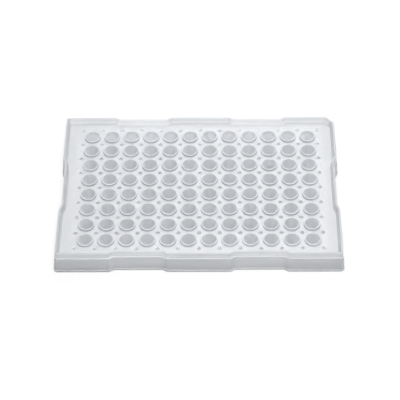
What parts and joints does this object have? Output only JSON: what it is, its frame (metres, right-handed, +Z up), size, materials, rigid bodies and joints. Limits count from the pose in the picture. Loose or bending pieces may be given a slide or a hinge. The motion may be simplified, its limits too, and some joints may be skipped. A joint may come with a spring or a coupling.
{
  "type": "well plate",
  "caption": "Shallow moulded laboratory well plate with collared V-bottom wells on a square grid, a notched upstanding rim and one cut corner.",
  "frame": {"origin": "middle of the plane that the foot stands on", "axes": "+X along the long side, +Y to the back, where the cut corner is at the right, and +Z up out of the wells"},
  "size_m": [0.1262, 0.0856, 0.0109],
  "materials": {
    "moulding": "natural translucent polypropylene with a satin moulded surface"
  },
  "bodies": {
    "root": {"well_plate": "moulding"}
  },
  "joints": []
}
